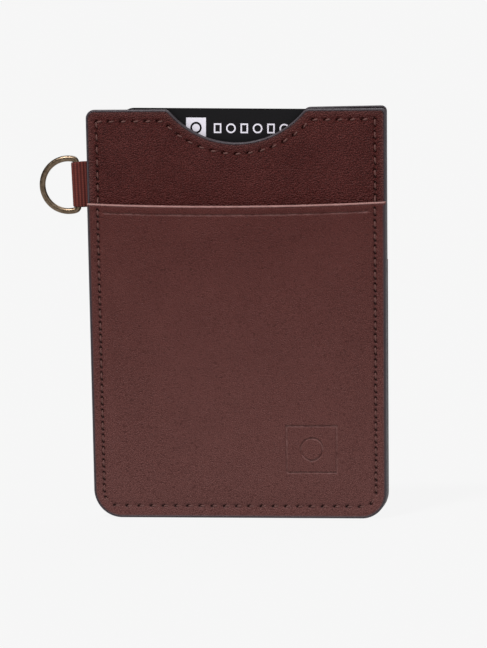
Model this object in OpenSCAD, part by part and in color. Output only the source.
// Slim vertical card wallet in leather, with a lanyard D-ring in a webbing loop.
// It stands on its bottom edge: X runs across the wallet, Z up its height and Y from front to back.
// The origin is the middle of the bottom edge, on the plane halfway through the seam.

/* [Body] */
// Width of the wallet
body_w = 70; // [64:0.5:80]
// Height of the front panel
front_h = 95; // [90:0.5:110]
// How much taller the back panel is than the front panel
back_rise = 0.5; // [0:0.1:1]
// Radius of the two bottom corners
bottom_r = 7; // [5:0.5:10]
// Radius of the two top corners
top_r = 1.8; // [1:0.1:3]

/* [Thumb notch] */
// Depth of the thumb notch below the top edge
notch_depth = 7.7; // [5:0.1:9]
// Radius of the notch's arc
notch_r = 20.5; // [16:0.5:22]
// Radius of the notch's two shoulders
shoulder_r = 2; // [1:0.5:3]

/* [Layers] */
// Thickness of the front and back panel leather
panel_t = 1; // [0.8:0.1:1.4]
// Thickness of the lining
lining_t = 0.25; // [0.2:0.05:0.4]
// Thickness of the stiffener between leather and lining
stiffener_t = 0.2; // [0.1:0.05:0.4]
// Thickness of the pocket leather
pocket_t = 0.8; // [0.6:0.1:1]
// Thickness of the spacer strips in the seam, which is the gap that holds the card
welt_t = 1; // [1:0.1:1.6]
// Width of the spacer strips
welt_w = 4; // [3.5:0.1:5]

/* [Pockets] */
// Height of the front pocket's mouth above the bottom edge
front_pocket_h = 72.7; // [60:0.1:74]
// Height of the back pocket's mouth above the bottom edge
back_pocket_h = 60; // [50:0.1:74]
// Depth of the leather turned in at a pocket's mouth
hem_depth = 8; // [5:0.5:10]
// Distance of the pressed crease below the pocket's mouth
crease_drop = 2.1; // [1.5:0.1:4]

/* [Pressed mark] */
// Width of the pressed square frame
mark_w = 11.3; // [8:0.1:12]
// Height of the pressed square frame
mark_h = 10.8; // [8:0.1:12]
// Distance of the mark's centre from the right edge
mark_from_side = 18; // [14:0.5:24]
// Height of the mark's centre above the bottom edge
mark_from_bottom = 15.7; // [12:0.1:24]

/* [Stitching] */
// Distance of the seam from the edge
seam_inset = 2.5; // [2:0.1:3]
// Distance from one stitch to the next
stitch_pitch = 3.1; // [2.5:0.1:4]
// Length of the thread that shows in one stitch
stitch_len = 2.3; // [1.8:0.1:2.4]
// Diameter of the thread
thread_d = 0.5; // [0.4:0.05:0.6]
// Width of the groove that the stitches lie in
groove_w = 0.9; // [0.7:0.1:1.2]
// Depth of the groove that the stitches lie in
groove_d = 0.3; // [0.3:0.05:0.4]

/* [D-ring and loop] */
// Outer height of the ring, along its straight bar
ring_h = 13.7; // [12:0.1:16]
// Diameter of the ring's wire
wire_d = 1.4; // [1.2:0.1:1.5]
// Distance of the ring's outermost point from the axis of its bar
ring_reach = 8.95; // [8.5:0.05:10]
// Height of the ring's centre above the bottom edge
ring_z = 77.9; // [77.8:0.1:80]
// Distance of the bar's axis from the wallet's side
bar_out = 2.55; // [1.8:0.05:3]
// Width of the webbing
webbing_w = 10.4; // [9:0.1:10.4]
// Length of the webbing's tails inside the seam
tail_in = 4; // [3.5:0.1:5]
// How far the bar and the webbing lean from upright, their top away from the wallet
loop_lean = 2; // [0:0.5:2]

/* [Card] */
// Width of the card
card_w = 53.98; // [53.98]
// Height of the card
card_h = 85.6; // [85.6]
// Thickness of the card
card_t = 0.76; // [0.5:0.01:0.8]
// Corner radius of the card
card_r = 3.18; // [3.18]
// How far the card's top edge stands above the front panel's
card_up = 0.1; // [0:0.1:2]

/* [Hidden] */

// Facets for round shapes, and points along each arc of an outline
$fn = 48;
arc_steps = 16;

// Distances from the middle plane to the inner face of each layer
lining_y = welt_t / 2;
stiffener_y = lining_y + lining_t;
panel_y = stiffener_y + stiffener_t;
pocket_lining_y = panel_y + panel_t;
pocket_y = pocket_lining_y + lining_t;
pocket_face_y = pocket_y + pocket_t;

// The stiffener stops short of the edge, so that it doesn't show there
stiffener_inset = 0.8;
// How far a cutting shape runs past the surface it cuts
past = 1;
// Width and depth of the pressed lines
press_w = 0.35;
press_d = 0.15;
crease_end = 4;
mark_ring_r = 2.6;

// The webbing is a double layer whose two tails fill the seam's gap
webbing_t = welt_t / 2;
bar_clearance = 0.06;
loop_in_r = wire_d / 2 + bar_clearance;
loop_out_r = loop_in_r + webbing_t;
bar_x = -body_w / 2 - bar_out;
// Room between the leaning webbing and the spacer strips, and between its folded part and the wallet's side
loop_room = 0.3;

leather = [0.36, 0.20, 0.19];
pocket_leather = [0.42, 0.26, 0.25];
lining_cloth = [0.22, 0.14, 0.13];
stiffener_cloth = [0.80, 0.78, 0.74];
welt_leather = [0.30, 0.20, 0.18];
webbing_cloth = [0.45, 0.22, 0.20];
brass = [0.50, 0.42, 0.32];
card_black = [0.10, 0.10, 0.11];
thread_brown = [0.33, 0.18, 0.16];

// Points along an arc of radius r round (cx, cz), from angle a0 to angle a1
function arc(cx, cz, r, a0, a1) =
    [for (i = [0:arc_steps]) let (a = a0 + (a1 - a0) * i / arc_steps) [cx + r * cos(a), cz + r * sin(a)]];

// Where the notch's arc has its centre, for a panel of height h
function notch_z(h) = h - notch_depth + notch_r;
// Where a shoulder's centre lies across the panel
function shoulder_x() = sqrt(pow(notch_r + shoulder_r, 2) - pow(notch_r + shoulder_r - notch_depth, 2));
// Half the angle of the notch's arc, measured from straight down
function notch_half() = asin(shoulder_x() / (notch_r + shoulder_r));

// Outline of a sheet of width w and height h with rounded bottom corners; top corners of radius rt
function sheet_bottom(w, rb) =
    concat(arc(-w / 2 + rb, rb, rb, 180, 270), arc(w / 2 - rb, rb, rb, 270, 360));
function sheet_outline(w, h, rb, rt) =
    concat(sheet_bottom(w, rb), arc(w / 2 - rt, h - rt, rt, 0, 90), arc(-w / 2 + rt, h - rt, rt, 90, 180));
// The same with square top corners
function pocket_outline(h) = concat(sheet_bottom(body_w, bottom_r), [[body_w / 2, h], [-body_w / 2, h]]);
// The same with the thumb notch in its top edge
function notched_outline(w, h, rb, rt) =
    let (sx = shoulder_x(), half = notch_half())
    concat(sheet_bottom(w, rb),
           arc(w / 2 - rt, h - rt, rt, 0, 90),
           arc(sx, h - shoulder_r, shoulder_r, 90, 90 + half),
           arc(0, notch_z(h), notch_r, 270 + half, 270 - half),
           arc(-sx, h - shoulder_r, shoulder_r, 90 - half, 90),
           arc(-w / 2 + rt, h - rt, rt, 90, 180));

// The line at distance d from the edge of a panel of height h: round the bottom, up and round the notch
function inset_side(d) =
    concat(arc(-body_w / 2 + bottom_r, bottom_r, bottom_r - d, 180, 270),
           arc(body_w / 2 - bottom_r, bottom_r, bottom_r - d, 270, 360));
function inset_notch(h, d) =
    let (r = notch_r + d, half = acos((notch_r - notch_depth + d) / r))
    arc(0, notch_z(h), r, 270 + half, 270 - half);
function inset_outline(h, d) =
    concat(inset_side(d), [[body_w / 2 - d, h - d]], inset_notch(h, d), [[-body_w / 2 + d, h - d]]);

// Stands a flat outline up, from y0 to y0 + t
module stand(y0, t) {
    translate([0, y0 + t, 0]) rotate([90, 0, 0]) linear_extrude(t) children();
}

// Turns a layer drawn on the back, where y is positive, to the front
module on_front() {
    mirror([0, 1, 0]) children();
}

// Groove for the stitches, cut into a face at face_y, from height z0 up
module stitch_groove(h, face_y, z0) {
    stand(face_y - groove_d, groove_d + past) intersection() {
        difference() {
            polygon(inset_outline(h, seam_inset - groove_w / 2));
            polygon(inset_outline(h, seam_inset + groove_w / 2));
        }
        translate([-body_w, z0]) square([2 * body_w, 2 * h]);
    }
}

// Leather panel with rounded corners and the thumb notch; pocket_h is where its pocket covers it
module panel(h, pocket_h) {
    difference() {
        stand(panel_y, panel_t) polygon(notched_outline(body_w, h, bottom_r, top_r));
        stitch_groove(h, pocket_lining_y, pocket_h);
    }
}

module lining(h) {
    stand(lining_y, lining_t) polygon(notched_outline(body_w, h, bottom_r, top_r));
}

module stiffener(h) {
    stand(stiffener_y, stiffener_t) difference() {
        translate([0, stiffener_inset])
            polygon(sheet_outline(body_w - 2 * stiffener_inset, h - 2 * stiffener_inset,
                                  bottom_r - stiffener_inset, top_r));
        translate([0, notch_z(h)]) circle(notch_r + stiffener_inset);
    }
}

// Profile of a pocket across its thickness: the leather, the part turned in behind it and the round fold
module pocket_profile(h) {
    hem_t = pocket_t + lining_t;
    fold_r = hem_t / 2;
    translate([pocket_y, -past]) square([pocket_t, h - fold_r + past]);
    translate([pocket_lining_y, h - hem_depth]) square([hem_t, hem_depth - fold_r]);
    translate([pocket_lining_y + fold_r, h - fold_r]) circle(fold_r);
}

// Pocket leather with its turned-in mouth and the pressed crease below it
module pocket(h) {
    difference() {
        intersection() {
            stand(pocket_lining_y, pocket_t + lining_t)
                polygon(pocket_outline(h + past));
            translate([-body_w / 2 - past, 0, 0]) rotate([90, 0, 90])
                linear_extrude(body_w + 2 * past) pocket_profile(h);
        }
        translate([-body_w / 2 + crease_end, pocket_face_y - press_d, h - crease_drop - press_w / 2])
            cube([body_w - 2 * crease_end, past, press_w]);
        stitch_groove(front_h, pocket_face_y, -past);
    }
}

module pocket_lining(h) {
    stand(pocket_lining_y, lining_t)
        polygon(pocket_outline(h - hem_depth));
}

// The mark pressed into the front pocket: a plain square frame round a plain ring
module pressed_mark() {
    translate([body_w / 2 - mark_from_side, pocket_face_y - press_d, mark_from_bottom])
        rotate([-90, 0, 0]) {
            linear_extrude(past) difference() {
                square([mark_w, mark_h], center = true);
                square([mark_w - 2 * press_w, mark_h - 2 * press_w], center = true);
            }
            difference() {
                cylinder(h = past, r = mark_ring_r);
                cylinder(h = past, r = mark_ring_r - press_w);
            }
        }
}

module front_panel() {
    color(leather) on_front() panel(front_h, front_pocket_h);
}

module front_stiffener() {
    color(stiffener_cloth) on_front() stiffener(front_h);
}

module front_lining() {
    color(lining_cloth) on_front() lining(front_h);
}

module front_pocket() {
    color(pocket_leather) on_front() difference() {
        pocket(front_pocket_h);
        pressed_mark();
    }
}

module front_pocket_lining() {
    color(lining_cloth) on_front() pocket_lining(front_pocket_h);
}

module back_panel() {
    color(leather) panel(front_h + back_rise, back_pocket_h);
}

module back_stiffener() {
    color(stiffener_cloth) stiffener(front_h + back_rise);
}

module back_lining() {
    color(lining_cloth) lining(front_h + back_rise);
}

module back_pocket() {
    color(pocket_leather) pocket(back_pocket_h);
}

module back_pocket_lining() {
    color(lining_cloth) pocket_lining(back_pocket_h);
}

// The part of the seam's spacer that lies inside a rectangle from (x0, z0) to (x1, z1)
module welt(x0, z0, x1, z1) {
    color(welt_leather) stand(-welt_t / 2, welt_t) intersection() {
        polygon(sheet_outline(body_w, front_h, bottom_r, top_r));
        translate([x0, z0]) square([x1 - x0, z1 - z0]);
    }
}

module welt_bottom() {
    welt(-body_w, -past, body_w, welt_w);
}

module welt_right() {
    welt(body_w / 2 - welt_w, welt_w, body_w, front_h + past);
}

module welt_left_lower() {
    welt(-body_w, welt_w, -body_w / 2 + welt_w, ring_z - webbing_w / 2 - loop_room);
}

module welt_left_upper() {
    welt(-body_w, ring_z + webbing_w / 2 + loop_room, -body_w / 2 + welt_w, front_h + past);
}

// Moves a shape drawn round the bar's middle to its place beside the wallet, where it leans
module at_bar() {
    translate([bar_x, 0, ring_z]) rotate([0, -loop_lean, 0]) children();
}

// Webbing folded round the bar: an eye drawn out to the seam, and two tails that meet inside it
module webbing_loop() {
    seam = [bar_out - loop_room, webbing_t];
    lean = atan2(seam[1], seam[0]) + acos(loop_out_r / norm(seam));
    side = [cos(lean), sin(lean)];
    low_side = [cos(lean), -sin(lean)];
    color(webbing_cloth) at_bar() translate([0, 0, -webbing_w / 2]) difference() {
        linear_extrude(webbing_w)
            polygon(concat(arc(0, 0, loop_out_r, lean, 360 - lean),
                           [[seam[0], -webbing_t], [bar_out + tail_in, -webbing_t],
                            [bar_out + tail_in, webbing_t], seam]));
        translate([0, 0, -past]) cylinder(h = webbing_w + 2 * past, r = loop_in_r);
        translate([0, 0, -past]) linear_extrude(webbing_w + 2 * past)
            polygon([[0, 0], loop_in_r * side, [loop_in_r / cos(lean), 0], loop_in_r * low_side]);
    }
}

// The ring: a straight bar, a bow that ends on it and a ball at each corner
module d_ring() {
    bow_r = (ring_h - wire_d) / 2;
    bow_x = -(ring_reach - wire_d / 2 - bow_r);
    corner_z = sqrt(pow(bow_r, 2) - pow(bow_x, 2));
    color(brass) at_bar() {
        translate([0, 0, -corner_z]) cylinder(h = 2 * corner_z, d = wire_d);
        difference() {
            translate([bow_x, 0, 0]) rotate([90, 0, 0]) rotate_extrude() translate([bow_r, 0]) circle(d = wire_d);
            translate([0, -ring_h, -ring_h]) cube(2 * ring_h);
        }
        translate([0, 0, corner_z]) sphere(d = wire_d);
        translate([0, 0, -corner_z]) sphere(d = wire_d);
    }
}

module card() {
    color(card_black) translate([0, 0, front_h + card_up - card_h]) stand(-card_t / 2, card_t)
        polygon(sheet_outline(card_w, card_h, card_r, card_r));
}

// Distance along a path of points up to each of its points
function path_sums(p) = [for (i = 0, s = 0; i < len(p); s = s + (i < len(p) - 1 ? norm(p[i + 1] - p[i]) : 0),
                              i = i + 1) s];
// The point at distance d along a path whose sums are c
function along(p, c, d) =
    let (i = max([for (k = [0:len(c) - 2]) if (c[k] <= d) k]))
    p[i] + (p[i + 1] - p[i]) * (d - c[i]) / (c[i + 1] - c[i]);

// One stitch on a flat face: half a round thread, from one end to the other of its middle line
module stitch(a, b, face_y) {
    d = b - a;
    translate([(a[0] + b[0]) / 2, face_y, (a[1] + b[1]) / 2]) rotate([0, -atan2(d[1], d[0]), 0])
        intersection() {
            translate([-stitch_len / 2, 0, 0]) rotate([0, 90, 0]) cylinder(h = stitch_len, d = thread_d);
            translate([-stitch_len, 0, -thread_d]) cube([2 * stitch_len, thread_d, 2 * thread_d]);
        }
}

// A row of stitches along a path; above pocket_h they lie on the panel and below it on the pocket
module stitch_row(p, pocket_h) {
    c = path_sums(p);
    total = c[len(c) - 1];
    count = floor(total / stitch_pitch);
    for (i = [0:count - 1]) {
        a = along(p, c, (i + 0.1) * total / count);
        b = along(p, c, (i + 0.9) * total / count);
        over_edge = max(a[1], b[1]) > pocket_h - thread_d && min(a[1], b[1]) < pocket_h + thread_d;
        if (!over_edge)
            stitch(a, b, (max(a[1], b[1]) > pocket_h ? pocket_lining_y : pocket_face_y) - groove_d);
    }
}

// The seam runs down one side, round the bottom and up the other side
function seam_path(h) =
    let (x = body_w / 2 - seam_inset, top = h - seam_inset - stitch_pitch / 4)
    concat([[-x, top]], inset_side(seam_inset), [[x, top]]);
// The top row follows the edge and dips round the notch
function top_path(h) =
    let (x = body_w / 2 - seam_inset, z = h - seam_inset)
    concat([[x, z]], inset_notch(h, seam_inset), [[-x, z]]);

module seam_needle_thread() {
    color(thread_brown) on_front() stitch_row(seam_path(front_h), front_pocket_h);
}

module seam_bobbin_thread() {
    color(thread_brown) stitch_row(seam_path(front_h), back_pocket_h);
}

module front_top_thread() {
    color(thread_brown) on_front() stitch_row(top_path(front_h), front_pocket_h);
}

module back_top_thread() {
    color(thread_brown) stitch_row(top_path(front_h + back_rise), back_pocket_h);
}

front_panel();
front_stiffener();
front_lining();
front_pocket();
front_pocket_lining();
back_panel();
back_stiffener();
back_lining();
back_pocket();
back_pocket_lining();
welt_bottom();
welt_right();
welt_left_lower();
welt_left_upper();
webbing_loop();
d_ring();
card();
seam_needle_thread();
seam_bobbin_thread();
front_top_thread();
back_top_thread();
